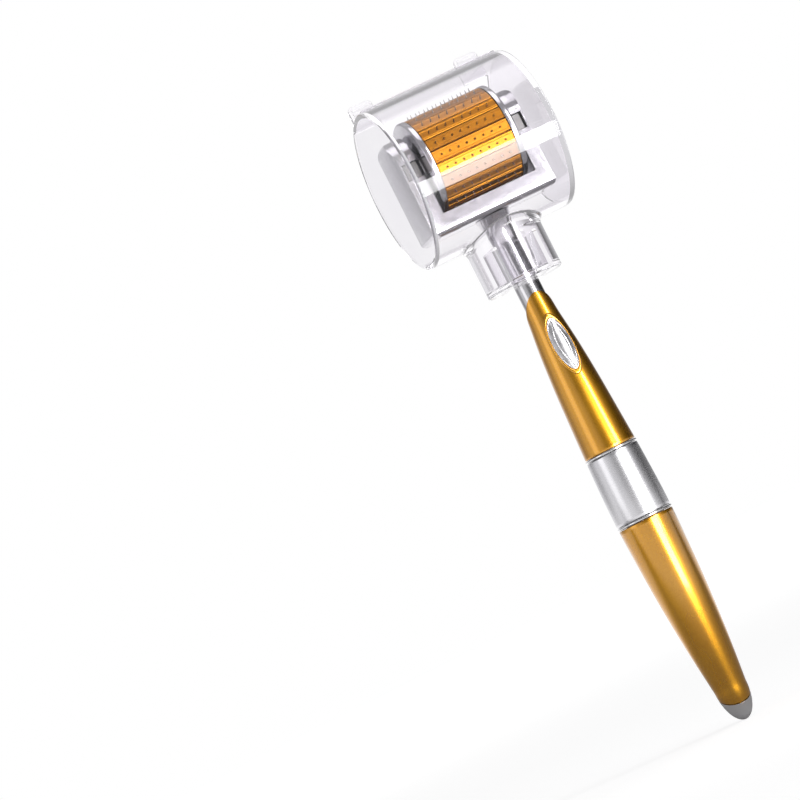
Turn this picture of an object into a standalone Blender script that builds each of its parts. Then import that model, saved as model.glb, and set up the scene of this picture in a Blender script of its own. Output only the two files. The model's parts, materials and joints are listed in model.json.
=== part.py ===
"""Micro-needle skin roller with its clear push-on cover, standing upright on its tail.

Metres, +Z up. X runs along the roller's axle, -Y is the front of the handle, and the frame's
origin is straight below the axle, at the height of the tail's tip.
"""

import math

import bmesh
import bpy
from mathutils import Matrix, Vector

# ---------------------------------------------------------------- driving dimensions, metres
AXLE_Z = 0.143  # the roller's axle above the tail's tip
GAP = 0.0001  # left between two pieces that rest on each other
ROUND = 28  # sides of a turned piece

ROWS = 24  # needle strips round the drum
NEEDLES_PER_ROW = 8
NEEDLE_PITCH = 0.00214
NEEDLE_LENGTH = 0.00105
NEEDLE_RADIUS = 0.00015
NEEDLE_TIP_RADIUS = 0.00003
NEEDLE_SUNK = 0.0004  # depth of a needle's root in its strip
DRUM_RADIUS = 0.0115  # axle to the flat top of a strip
DRUM_HALF_WIDTH = 0.00965
STRIP_THICKNESS = 0.0013
STRIP_SEAM = 0.0003  # open seam between neighbouring strips
FLANGE_RADIUS = 0.0117
FLANGE_OUTER_X = 0.01115  # outer face at the rim
FLANGE_DOME_X = 0.01145  # outer face at the hub
AXLE_RADIUS = 0.0015
AXLE_HALF_LENGTH = 0.0143
BUSH_BORE = 0.0016
BUSH_RADIUS = 0.0031
BUSH_LENGTH = 0.0042

YOKE_HALF_DEPTH = 0.0068
YOKE_HALF_WIDTH = 0.0164  # widest, just below the axle
YOKE_WAIST = -0.0026  # height of that widest place from the axle
YOKE_SIDE_RADIUS = 0.071  # barrel curve of the cheeks seen from the front
YOKE_PLAN_HALF_WIDTH = 0.0153  # at the front and back faces
YOKE_TOP = 0.0087  # from the axle
YOKE_BOTTOM = -0.0160
ARM_INNER_X = 0.01195
CRADLE_RADIUS = 0.0134  # hollow of the crossbar under the drum
SLOT_HEIGHT = 0.0040
SLOT_OUTER_X = 0.0149
BLOCK_OUTER_X = 0.0146
BLOCK_HEIGHT = 0.0038
BLOCK_FRONT_Y = -0.0060
SLOT_BACK_Y = 0.0021

NECK_RADIUS = 0.0030
NECK_TOP_Z = AXLE_Z + YOKE_BOTTOM - GAP
NECK_FOOT_Z = 0.0710
FLARE_START_Z = 0.1190
FLARE_WIDENING = 0.0011  # added to the neck's radius under the crossbar
FLARE_DEEPENING = 0.42  # share by which the flare is longer front to back than across
FLARE_POWER = 2.4
SPIGOT_RADIUS = 0.0022
SPIGOT_LENGTH = 0.0016
CORE_ROD_RADIUS = 0.0020
CORE_ROD_TOP_Z = 0.0838
JOINER_RADIUS = 0.0047
JOINER_BOTTOM_Z = 0.0440
JOINER_TOP_Z = 0.0706
TAIL_PLUG_RADIUS = 0.0026
TAIL_PLUG_TOP_Z = 0.0150
TAIL_SOCKET_Z = 0.0082  # floor of the core rod's socket in the tail cap

GRIP_OUTLINE = (  # (height, radius) of the handle's outer surface above its rounded tail
    (0.0080, 0.00385),
    (0.0186, 0.00500),
    (0.0320, 0.00600),
    (0.0450, 0.00650),
    (0.0540, 0.00662),
    (0.0650, 0.00632),
    (0.0760, 0.00578),
    (0.0850, 0.00528),
    (0.0940, 0.00455),
    (0.1015, 0.00370),
    (0.1080, 0.00335),
)
TAIL_ROUND_HEIGHT = GRIP_OUTLINE[0][0]
LOWER_GRIP_TOP_Z = 0.0500
BAND_BOTTOM_Z = 0.0508
BAND_TOP_Z = 0.0668
UPPER_GRIP_BOTTOM_Z = 0.0676
UPPER_GRIP_TOP_Z = 0.1070  # apex of the arch at the front
UPPER_SCARF_SLOPE = 1.37  # fall of the arch towards the back, rise over run
TAIL_SCARF_FRONT_Z = 0.0038
TAIL_SCARF_SLOPE = 0.55
TRIM_THICKNESS = 0.0006
TRIM_PROUD = 0.00012

BADGE_Z = 0.0936
BADGE_HALF_LENGTH = 0.0065
BADGE_HALF_WIDTH = 0.0023
BADGE_PROUD = 0.00025
BADGE_POCKET = 0.0003

COVER_Z = AXLE_Z - 0.0019  # middle of the cover's drum, from which its other heights are taken
COVER_RADIUS = 0.0193
COVER_HALF_WIDTH = 0.0181
COVER_WALL = 0.0012
COVER_CAVITY_HALF_WIDTH = 0.0169
COVER_MOUTH_TOP = 0.0168  # upper edge of the open back
COVER_MOUTH_Y = 0.0055  # everything behind this is open below the mouth's upper edge
COLLAR_RADIUS = 0.0092
COLLAR_WALL = 0.0011
COLLAR_BOTTOM = -0.0312
JAW_OUTER_X = 0.0055
JAW_INNER_X = 0.0044
JAW_FRONT_Y = -0.0070
JAW_BACK_Y = 0.0030
JAW_TOP = -0.0215
JAW_LIP_X = 0.0032  # the lips at the jaws' backs reach in to here and hold the stem
STEM_NOTCH_RADIUS = 0.0034
LUG_X = 0.0138
LUG_HALF_WIDTH = 0.0030
LUG_FRONT_Y = 0.0082
LUG_BACK_Y = 0.0098
LUG_FOOT = 0.0150
LUG_TOP = 0.0228

# ---------------------------------------------------------------- shapes


def clear_scene():
    for obj in list(bpy.data.objects):
        bpy.data.objects.remove(obj, do_unlink=True)


def new_collection(name, shown=True):
    collection = bpy.data.collections.new(name)
    bpy.context.scene.collection.children.link(collection)
    collection.hide_render = not shown
    return collection


def make_material(name, colour, roughness, metallic, transmission=0.0):
    material = bpy.data.materials.new(name)
    material.use_nodes = True
    surface = material.node_tree.nodes["Principled BSDF"]
    surface.inputs["Base Color"].default_value = (*colour, 1.0)
    surface.inputs["Roughness"].default_value = roughness
    surface.inputs["Metallic"].default_value = metallic
    surface.inputs["Transmission Weight"].default_value = transmission
    return material


def link(name, data, collection):
    obj = bpy.data.objects.new(name, data)
    collection.objects.link(obj)
    return obj


def link_shape(name, shape, collection):
    """Makes an object of a bmesh, which is freed."""
    mesh = bpy.data.meshes.new(name)
    shape.to_mesh(mesh)
    shape.free()
    return link(name, mesh, collection)


def bake(obj):
    """Replaces the object's data with its evaluated mesh, closed and facing out."""
    bpy.context.view_layer.update()
    graph = bpy.context.evaluated_depsgraph_get()
    mesh = bpy.data.meshes.new_from_object(obj.evaluated_get(graph))
    shape = bmesh.new()
    shape.from_mesh(mesh)
    bmesh.ops.remove_doubles(shape, verts=shape.verts, dist=1e-7)
    bmesh.ops.recalc_face_normals(shape, faces=shape.faces)
    shape.to_mesh(mesh)
    shape.free()
    collection = obj.users_collection[0]
    name = obj.name
    bpy.data.objects.remove(obj, do_unlink=True)
    return link(name, mesh, collection)


def turned(name, profile, collection, closed=False, sides=ROUND):
    """Solid of revolution about Z. The (radius, height) profile runs down its outer side."""
    mesh = bpy.data.meshes.new(name)
    edges = [(i, i + 1) for i in range(len(profile) - 1)]
    if closed:
        edges.append((len(profile) - 1, 0))
    mesh.from_pydata([(radius, 0.0, height) for radius, height in profile], edges, [])
    obj = link(name, mesh, collection)
    screw = obj.modifiers.new("turn", "SCREW")
    screw.steps = screw.render_steps = sides
    screw.use_merge_vertices = True
    screw.merge_threshold = 1e-7
    return bake(obj)


def tube(name, outer, inner, bottom, top, collection, sides=ROUND):
    profile = [(inner, top), (outer, top), (outer, bottom), (inner, bottom)]
    return turned(name, profile, collection, closed=True, sides=sides)


def cylinder(name, radius, bottom, top, collection, sides=ROUND):
    shape = bmesh.new()
    bmesh.ops.create_cone(
        shape,
        cap_ends=True,
        segments=sides,
        radius1=radius,
        radius2=radius,
        depth=top - bottom,
        matrix=Matrix.Translation((0.0, 0.0, (bottom + top) / 2)),
    )
    return link_shape(name, shape, collection)


def box(name, low, high, collection):
    shape = bmesh.new()
    bmesh.ops.create_cube(shape, size=1.0)
    low, high = Vector(low), Vector(high)
    bmesh.ops.scale(shape, verts=shape.verts, vec=high - low)
    bmesh.ops.translate(shape, verts=shape.verts, vec=(low + high) / 2)
    return link_shape(name, shape, collection)


FRONT_VIEW = Matrix(((1, 0, 0, 0), (0, 0, -1, 0), (0, 1, 0, 0), (0, 0, 0, 1)))  # outline in XZ
SIDE_VIEW = Matrix(((0, 0, 1, 0), (1, 0, 0, 0), (0, 1, 0, 0), (0, 0, 0, 1)))  # outline in YZ
PLAN_VIEW = Matrix.Identity(4)  # outline in XY
ALONG_X = Matrix.Rotation(math.pi / 2, 4, "Y")  # turns a piece made along Z to lie along X


def extruded(name, outline, half_depth, view, collection):
    """A flat outline given thickness on both sides of its plane, standing in the view's plane."""
    curve = bpy.data.curves.new(name, "CURVE")
    curve.dimensions = "2D"
    curve.fill_mode = "BOTH"
    curve.extrude = half_depth
    spline = curve.splines.new("POLY")
    spline.points.add(len(outline) - 1)
    for point, (across, up) in zip(spline.points, outline):
        point.co = (across, up, 0.0, 1.0)
    spline.use_cyclic_u = True
    obj = bake(link(name, curve, collection))
    obj.data.transform(view)
    return obj


def arc(centre, radius, start, end, steps):
    """Points of a circular arc from one angle to the other, in degrees."""
    angles = [math.radians(start + (end - start) * i / steps) for i in range(steps + 1)]
    return [
        (centre[0] + radius * math.cos(a), centre[1] + radius * math.sin(a)) for a in angles
    ]


def boolean(obj, cutter, operation="DIFFERENCE"):
    """Keeps the cutter as a hidden helper and leaves the modifier live."""
    modifier = obj.modifiers.new(cutter.name, "BOOLEAN")
    modifier.operation = operation
    modifier.solver = "EXACT"
    modifier.object = cutter
    cutter.hide_render = True
    cutter.display_type = "WIRE"
    return obj


def move(obj, matrix):
    """Moves the geometry itself, so that the object's origin stays put."""
    obj.data.transform(matrix)
    return obj


def raised(height):
    return Matrix.Translation((0.0, 0.0, height))


def finish(obj, material, parent=None, smooth_angle=35.0):
    obj.data.materials.clear()
    obj.data.materials.append(material)
    obj.data.shade_smooth()
    obj.data.set_sharp_from_angle(angle=math.radians(smooth_angle))
    if parent is not None:
        obj.parent = parent


# ---------------------------------------------------------------- handle


def grip_radius(height):
    """Outer radius of the handle: a half-ellipse tail, then a smooth cubic through GRIP_OUTLINE."""
    if height <= TAIL_ROUND_HEIGHT:
        share = 1.0 - max(height, 0.0) / TAIL_ROUND_HEIGHT
        return GRIP_OUTLINE[0][1] * math.sqrt(max(0.0, 1.0 - share * share))
    last = len(GRIP_OUTLINE) - 1
    i = max(k for k in range(last) if GRIP_OUTLINE[k][0] <= height)
    before, after = GRIP_OUTLINE[max(i - 1, 0)], GRIP_OUTLINE[min(i + 2, last)]
    (z0, r0), (z1, r1) = GRIP_OUTLINE[i], GRIP_OUTLINE[i + 1]
    span = z1 - z0
    slope0 = (r1 - before[1]) / (z1 - before[0]) * span
    slope1 = (after[1] - r0) / (after[0] - z0) * span
    t = min((height - z0) / span, 1.0)
    return (
        (2 * t**3 - 3 * t**2 + 1) * r0
        + (t**3 - 2 * t**2 + t) * slope0
        + (3 * t**2 - 2 * t**3) * r1
        + (t**3 - t**2) * slope1
    )


def heights(low, high, steps):
    return [low + (high - low) * i / steps for i in range(steps + 1)]


def grip_tube(name, low, high, steps, bore, collection):
    """A hollow length of the handle. The bore is given from its foot up as (radius, height)."""
    outside = [(grip_radius(z), z) for z in reversed(heights(low, high, steps))]
    return turned(name, outside + bore, collection, closed=True)


def scarf_wedge(name, front_z, slope, above, collection):
    """Cutter above or below a slanted plane through the handle's front surface at a height."""
    reach = 0.03
    front_y = -grip_radius(front_z)
    outline = [
        (-reach, front_z + slope * (-reach - front_y)),
        (reach, front_z + slope * (reach - front_y)),
    ]
    far = front_z + (reach if above else -reach) * 2
    outline += [(reach, far), (-reach, far)]
    return extruded(name, outline, reach, SIDE_VIEW, collection)


def make_upper_grip(parts, cutters, material):
    """Tapered sleeve with an arched top and the badge's pocket."""
    top = UPPER_GRIP_TOP_Z + 0.0010
    bore = [
        (JOINER_RADIUS + GAP, UPPER_GRIP_BOTTOM_Z),
        (JOINER_RADIUS + GAP, JOINER_TOP_Z + GAP),
        (NECK_RADIUS + GAP, JOINER_TOP_Z + GAP),
        (NECK_RADIUS + GAP, top),
    ]
    grip = grip_tube("upper_grip", UPPER_GRIP_BOTTOM_Z, top, 11, bore, parts)
    slope = -UPPER_SCARF_SLOPE
    boolean(grip, scarf_wedge("upper_scarf_cutter", UPPER_GRIP_TOP_Z, slope, True, cutters))
    boolean(grip, badge_ring("badge_pocket_cutter", GAP, -BADGE_POCKET, 0.002, cutters))
    finish(grip, material)


def badge_ring(name, margin, floor, proud, collection):
    """The oval column of the badge, kept between two skins parallel to the grip's surface."""
    steps = 24
    outline = [
        (
            (BADGE_HALF_WIDTH + margin) * math.cos(2 * math.pi * i / steps),
            BADGE_Z + (BADGE_HALF_LENGTH + margin) * math.sin(2 * math.pi * i / steps),
        )
        for i in range(steps)
    ]
    column = extruded(name, outline, 0.006, FRONT_VIEW, collection)
    move(column, Matrix.Translation((0.0, -0.006, 0.0)))
    levels = heights(BADGE_Z - 0.009, BADGE_Z + 0.009, 4)
    outside = [(grip_radius(z) + proud, z) for z in reversed(levels)]
    inside = [(grip_radius(z) + floor, z) for z in levels]
    skin = turned(name + "_skin", outside + inside, collection, closed=True, sides=36)
    return boolean(column, skin, "INTERSECT")


def make_badge(parts, silver):
    floor = GAP - BADGE_POCKET
    finish(bake(badge_ring("badge", 0.0, floor, BADGE_PROUD, parts)), silver)


def make_band(parts, silver):
    """The band round the widest place, between its two trim rings."""
    fit = JOINER_RADIUS + GAP
    bore = [(fit, BAND_BOTTOM_Z), (fit, BAND_TOP_Z)]
    finish(grip_tube("centre_band", BAND_BOTTOM_Z, BAND_TOP_Z, 4, bore, parts), silver)
    for name, low in (
        ("lower_trim_ring", LOWER_GRIP_TOP_Z + GAP),
        ("upper_trim_ring", BAND_TOP_Z + GAP),
    ):
        radius = grip_radius(low) + TRIM_PROUD
        trim = tube(name, radius, fit, low, low + TRIM_THICKNESS, parts)
        finish(trim, silver)


def make_lower_grip(parts, cutters, gold):
    """Sleeve bored for the tail's plug, the core rod and the joiner, from its foot up."""
    foot = TAIL_SCARF_FRONT_Z - 0.0008
    plug = TAIL_PLUG_RADIUS + GAP
    rod = CORE_ROD_RADIUS + GAP
    fit = JOINER_RADIUS + GAP
    bore = [
        (plug, foot),
        (plug, TAIL_PLUG_TOP_Z + 0.0010),
        (rod, TAIL_PLUG_TOP_Z + 0.0015),
        (rod, JOINER_BOTTOM_Z - GAP),
        (fit, JOINER_BOTTOM_Z - GAP),
        (fit, LOWER_GRIP_TOP_Z),
    ]
    grip = grip_tube("lower_grip", foot, LOWER_GRIP_TOP_Z, 12, bore, parts)
    cut_z = TAIL_SCARF_FRONT_Z + GAP
    boolean(grip, scarf_wedge("lower_scarf_cutter", cut_z, TAIL_SCARF_SLOPE, False, cutters))
    finish(grip, gold)


def make_tail_cap(parts, cutters, silver):
    """Rounded tip, scarf-cut on top, with the plug that enters the lower grip."""
    top = 0.0100
    outside = [(grip_radius(z), z) for z in reversed(heights(0.0, top, 8))]
    tip = turned("tail_cap", [(0.0, top)] + outside, parts)
    cut_z = TAIL_SCARF_FRONT_Z - GAP
    boolean(tip, scarf_wedge("tail_scarf_cutter", cut_z, TAIL_SCARF_SLOPE, True, cutters))
    plug_foot = 0.0030
    plug = cylinder("tail_plug", TAIL_PLUG_RADIUS, plug_foot, TAIL_PLUG_TOP_Z, cutters, 24)
    boolean(tip, plug, "UNION")
    above = TAIL_PLUG_TOP_Z + 0.0050
    bore = CORE_ROD_RADIUS + GAP
    boolean(tip, cylinder("tail_socket", bore, TAIL_SOCKET_Z, above, cutters, 16))
    finish(tip, silver)


def make_core(parts, steel, white):
    """The rod that ties the handle together, and the joiner under the centre band."""
    bore = CORE_ROD_RADIUS + GAP
    joiner = tube("grip_joiner", JOINER_RADIUS, bore, JOINER_BOTTOM_Z, JOINER_TOP_Z, parts)
    finish(joiner, white)
    foot = TAIL_SOCKET_Z + GAP
    finish(cylinder("core_rod", CORE_ROD_RADIUS, foot, CORE_ROD_TOP_Z, parts, 16), steel)


def flare_share(z):
    """0 where the neck starts to flare, 1 under the crossbar."""
    share = (z - FLARE_START_Z) / (NECK_TOP_Z - FLARE_START_Z)
    return min(max(share, 0.0), 1.0) ** FLARE_POWER


def make_neck(parts, cutters, silver):
    """Silver stem: spigot, a flare as deep as the crossbar, a plain shank and a bored tang."""
    spigot_top = NECK_TOP_Z + SPIGOT_LENGTH
    profile = [(0.0, spigot_top), (SPIGOT_RADIUS, spigot_top), (SPIGOT_RADIUS, NECK_TOP_Z)]
    for z in reversed(heights(FLARE_START_Z, NECK_TOP_Z, 6)):
        profile.append((NECK_RADIUS + FLARE_WIDENING * flare_share(z), z))
    profile += [(NECK_RADIUS, NECK_FOOT_Z), (0.0, NECK_FOOT_Z)]
    neck = turned("neck", profile, parts)
    for vertex in neck.data.vertices:
        if vertex.co.xy.length > SPIGOT_RADIUS + GAP:
            vertex.co.y *= 1.0 + FLARE_DEEPENING * flare_share(vertex.co.z)
    bore = CORE_ROD_RADIUS + GAP
    foot, top = NECK_FOOT_Z - 0.0010, CORE_ROD_TOP_Z + 2 * GAP
    boolean(neck, cylinder("neck_bore_cutter", bore, foot, top, cutters, 16))
    finish(neck, silver)


# ---------------------------------------------------------------- yoke


def yoke_half_width(up):
    return YOKE_HALF_WIDTH - (up - YOKE_WAIST) ** 2 / (2 * YOKE_SIDE_RADIUS)


def yoke_front_outline():
    """Barrel-sided U, with the drum's bay open at the top."""
    top_round, foot_round = 0.0015, 0.0012
    foot = YOKE_BOTTOM + foot_round
    shoulder = YOKE_TOP - top_round
    right = [(ARM_INNER_X, -0.0110)]
    right.append((ARM_INNER_X, YOKE_TOP))
    right += arc((yoke_half_width(shoulder) - top_round, shoulder), top_round, 90, 0, 3)
    right += [(yoke_half_width(z), z) for z in reversed(heights(foot, shoulder, 6))][1:-1]
    right += arc((yoke_half_width(foot) - foot_round, foot), foot_round, 0, -90, 3)
    return right + [(-across, up) for across, up in reversed(right)]


def yoke_side_outline():
    """Half-round arm tops over a square foot with eased edges."""
    foot_round = 0.0015
    foot = (YOKE_HALF_DEPTH - foot_round, YOKE_BOTTOM + foot_round)
    outline = arc((0.0, YOKE_TOP - YOKE_HALF_DEPTH), YOKE_HALF_DEPTH, 0, 180, 12)
    outline += arc((-foot[0], foot[1]), foot_round, 180, 270, 3)
    outline += arc(foot, foot_round, 270, 360, 3)
    return outline


def yoke_plan_outline():
    """Cheeks bulge from the front and back faces to the full width in the middle."""
    bulge = YOKE_HALF_WIDTH - YOKE_PLAN_HALF_WIDTH
    radius = (YOKE_HALF_DEPTH**2 + bulge**2) / (2 * bulge)
    half_angle = math.degrees(math.asin(YOKE_HALF_DEPTH / radius))
    right = arc((YOKE_HALF_WIDTH - radius, 0.0), radius, -half_angle, half_angle, 4)
    return right + [(-across, deep) for across, deep in reversed(right)]


def make_yoke(parts, cutters, silver):
    at_axle = raised(AXLE_Z)
    yoke = extruded("yoke", yoke_front_outline(), 0.010, FRONT_VIEW, parts)
    side = extruded("yoke_side_guide", yoke_side_outline(), 0.020, SIDE_VIEW, cutters)
    plan = extruded("yoke_plan_guide", yoke_plan_outline(), 0.020, PLAN_VIEW, cutters)
    move(yoke, at_axle)
    boolean(yoke, move(side, at_axle), "INTERSECT")
    boolean(yoke, move(plan, at_axle), "INTERSECT")
    cradle = cylinder("cradle_cutter", CRADLE_RADIUS, -ARM_INNER_X, ARM_INNER_X, cutters, 48)
    boolean(yoke, move(cradle, at_axle @ ALONG_X))
    for side_name, sign in (("left", -1), ("right", 1)):
        open_end, closed_end = sign * (ARM_INNER_X - 0.001), sign * SLOT_OUTER_X
        slot = box(
            f"{side_name}_slot_cutter",
            (min(open_end, closed_end), -0.010, AXLE_Z - SLOT_HEIGHT / 2),
            (max(open_end, closed_end), SLOT_BACK_Y, AXLE_Z + SLOT_HEIGHT / 2),
            cutters,
        )
        boolean(yoke, slot)
    socket = cylinder(
        "neck_socket_cutter",
        SPIGOT_RADIUS + GAP,
        NECK_TOP_Z - 0.001,
        NECK_TOP_Z + SPIGOT_LENGTH + GAP,
        cutters,
    )
    boolean(yoke, socket)
    finish(yoke, silver)


def make_axle(parts, cutters, steel, grey):
    axle = cylinder("axle", AXLE_RADIUS, -AXLE_HALF_LENGTH, AXLE_HALF_LENGTH, parts, 24)
    finish(move(axle, raised(AXLE_Z) @ ALONG_X), steel)
    for side_name, sign in (("left", -1), ("right", 1)):
        inner, outer = sign * (ARM_INNER_X + GAP), sign * BLOCK_OUTER_X
        block = box(
            f"{side_name}_axle_block",
            (min(inner, outer), BLOCK_FRONT_Y, AXLE_Z - BLOCK_HEIGHT / 2),
            (max(inner, outer), SLOT_BACK_Y - GAP, AXLE_Z + BLOCK_HEIGHT / 2),
            parts,
        )
        mouth, end = sign * (ARM_INNER_X - 0.001), sign * (AXLE_HALF_LENGTH + GAP)
        bore = cylinder(
            f"{side_name}_block_bore_cutter",
            AXLE_RADIUS + GAP,
            min(mouth, end),
            max(mouth, end),
            cutters,
            24,
        )
        boolean(block, move(bore, raised(AXLE_Z) @ ALONG_X))
        finish(block, grey)


# ---------------------------------------------------------------- roller


def strip_mesh(parts, cutters):
    """One gold strip with its row of needles, lying on top of the drum."""
    foot = DRUM_RADIUS - STRIP_THICKNESS
    half_pitch = math.pi / ROWS
    top_half = DRUM_RADIUS * math.tan(half_pitch) - STRIP_SEAM / 2
    foot_half = foot * math.tan(half_pitch) - STRIP_SEAM / 2
    outline = [
        (-foot_half, foot),
        (foot_half, foot),
        (top_half, DRUM_RADIUS),
        (-top_half, DRUM_RADIUS),
    ]
    strip = extruded("strip", outline, DRUM_HALF_WIDTH - GAP, SIDE_VIEW, parts)
    shape = bmesh.new()
    root = DRUM_RADIUS - NEEDLE_SUNK
    length = NEEDLE_LENGTH + NEEDLE_SUNK
    for i in range(NEEDLES_PER_ROW):
        across = (i - (NEEDLES_PER_ROW - 1) / 2) * NEEDLE_PITCH
        bmesh.ops.create_cone(
            shape,
            cap_ends=True,
            segments=5,
            radius1=NEEDLE_RADIUS,
            radius2=NEEDLE_TIP_RADIUS,
            depth=length,
            matrix=Matrix.Translation((across, 0.0, root + length / 2)),
        )
    boolean(strip, link_shape("needle_row_guide", shape, cutters), "UNION")
    baked = bake(strip)
    mesh = baked.data
    bpy.data.objects.remove(baked, do_unlink=True)
    return mesh


def make_roller(parts, cutters, gold, silver, white):
    axis = link("roller_axis", None, parts)
    axis.location = (0.0, 0.0, AXLE_Z)
    mesh = strip_mesh(parts, cutters)
    for row in range(ROWS):
        strip = link(f"needle_strip_{row + 1:02d}", mesh, parts)
        strip.rotation_euler.x = 2 * math.pi * row / ROWS
        finish(strip, gold, axis)

    core_apothem = DRUM_RADIUS - STRIP_THICKNESS - 2 * GAP
    core_radius = core_apothem / math.cos(math.pi / ROWS)
    half = DRUM_HALF_WIDTH - GAP
    core = tube("drum_core", core_radius, BUSH_RADIUS + GAP, -half, half, parts, ROWS)
    half_facet = Matrix.Rotation(math.pi / ROWS, 4, "Z")
    finish(move(core, ALONG_X @ half_facet), gold, axis, 5.0)

    for side_name, sign in (("left", -1), ("right", 1)):
        bore = BUSH_RADIUS + GAP
        inner = DRUM_HALF_WIDTH + GAP
        profile = [
            (bore, FLANGE_DOME_X),
            (0.0060, FLANGE_DOME_X),
            (FLANGE_RADIUS - 0.0005, FLANGE_OUTER_X),
            (FLANGE_RADIUS, FLANGE_OUTER_X - 0.0004),
            (FLANGE_RADIUS, inner),
            (bore, inner),
        ]
        turn = ALONG_X if sign > 0 else Matrix.Rotation(-math.pi / 2, 4, "Y")
        flange = turned(f"{side_name}_flange", profile, parts, closed=True, sides=36)
        finish(move(flange, turn), silver, axis)
        foot = FLANGE_DOME_X - BUSH_LENGTH
        bush = tube(
            f"{side_name}_bush", BUSH_RADIUS, BUSH_BORE, foot, FLANGE_DOME_X, parts, 24
        )
        finish(move(bush, turn), white, axis)


# ---------------------------------------------------------------- cover


def cover_cavity(collection):
    """Hollow of the cover's drum together with its open back."""
    radius = COVER_RADIUS - COVER_WALL
    top = math.degrees(math.asin(COVER_MOUTH_TOP / radius))
    foot = 360.0 - math.degrees(math.acos(COVER_MOUTH_Y / radius))
    outline = arc((0.0, 0.0), radius, top, foot, 30)
    outline += [(COVER_MOUTH_Y, -0.040), (0.030, -0.040), (0.030, COVER_MOUTH_TOP)]
    return extruded(
        "cover_cavity_cutter", outline, COVER_CAVITY_HALF_WIDTH, SIDE_VIEW, collection
    )


def make_cover(parts, cutters, clear):
    """One clear moulding: a drum open at the back, a half-round collar and two finger lugs."""
    anchor = link("cover_axis", None, parts)
    anchor.location = (0.0, 0.0, COVER_Z)
    cover = cylinder("clear_cover", COVER_RADIUS, -COVER_HALF_WIDTH, COVER_HALF_WIDTH, parts, 48)
    move(cover, ALONG_X)
    boolean(
        cover, cylinder("collar_guide", COLLAR_RADIUS, COLLAR_BOTTOM, -0.010, cutters), "UNION"
    )
    for side_name, sign in (("left", -1), ("right", 1)):
        lug = box(
            f"{side_name}_lug_guide",
            (sign * LUG_X - LUG_HALF_WIDTH, LUG_FRONT_Y, LUG_FOOT),
            (sign * LUG_X + LUG_HALF_WIDTH, LUG_BACK_Y, LUG_TOP),
            cutters,
        )
        boolean(cover, lug, "UNION")
    boolean(cover, cover_cavity(cutters))
    hollow_radius, hollow_floor = COLLAR_RADIUS - COLLAR_WALL, COLLAR_BOTTOM + COLLAR_WALL
    boolean(cover, cylinder("collar_cutter", hollow_radius, hollow_floor, -0.0090, cutters))
    jaw_foot = COLLAR_BOTTOM + COLLAR_WALL / 2
    for side_name, sign in (("left", -1), ("right", 1)):
        wall = [sign * JAW_INNER_X, sign * JAW_OUTER_X]
        jaw = box(
            f"{side_name}_jaw_guide",
            (min(wall), JAW_FRONT_Y, jaw_foot),
            (max(wall), JAW_BACK_Y, JAW_TOP),
            cutters,
        )
        boolean(cover, jaw, "UNION")
        lip_span = [sign * JAW_LIP_X, sign * (JAW_INNER_X + 0.0004)]
        lip = box(
            f"{side_name}_lip_guide",
            (min(lip_span), JAW_BACK_Y - 0.0011, jaw_foot),
            (max(lip_span), JAW_BACK_Y - GAP, JAW_TOP - GAP),
            cutters,
        )
        boolean(cover, lip, "UNION")
    half = STEM_NOTCH_RADIUS
    outline = arc((0.0, 0.0), half, 180, 360, 10) + [(half, 0.012), (-half, 0.012)]
    notch = extruded("stem_notch_cutter", outline, 0.003, PLAN_VIEW, cutters)
    boolean(cover, move(notch, raised(COLLAR_BOTTOM)))
    for helper in cutters.objects:
        if any(modifier.object is helper for modifier in cover.modifiers):
            helper.location.z = COVER_Z
    finish(cover, clear, anchor)


def main():
    clear_scene()
    parts = new_collection("derma_roller")
    cutters = new_collection("cutters", shown=False)
    gold = make_material("satin_gold", (0.62, 0.33, 0.03), 0.32, 0.9)
    drum_gold = make_material("drum_gold", (0.55, 0.25, 0.02), 0.38, 0.6)
    silver = make_material("satin_silver", (0.74, 0.73, 0.74), 0.25, 1.0)
    steel = make_material("steel", (0.55, 0.55, 0.57), 0.3, 1.0)
    grey = make_material("grey_plastic", (0.33, 0.32, 0.31), 0.45, 0.0)
    white = make_material("white_plastic", (0.8, 0.8, 0.78), 0.4, 0.0)
    clear = make_material("clear_plastic", (0.95, 0.95, 0.97), 0.05, 0.0, 1.0)
    make_upper_grip(parts, cutters, gold)
    make_badge(parts, silver)
    make_band(parts, silver)
    make_lower_grip(parts, cutters, gold)
    make_tail_cap(parts, cutters, silver)
    make_core(parts, steel, white)
    make_neck(parts, cutters, silver)
    make_yoke(parts, cutters, silver)
    make_axle(parts, cutters, steel, grey)
    make_roller(parts, cutters, drum_gold, silver, white)
    make_cover(parts, cutters, clear)


main()
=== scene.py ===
"""Derma roller under its clear push-on cover: the visible pieces, their finishes and a studio."""

import json
import math

import bmesh
import bpy
from mathutils import Matrix, Vector


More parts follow.
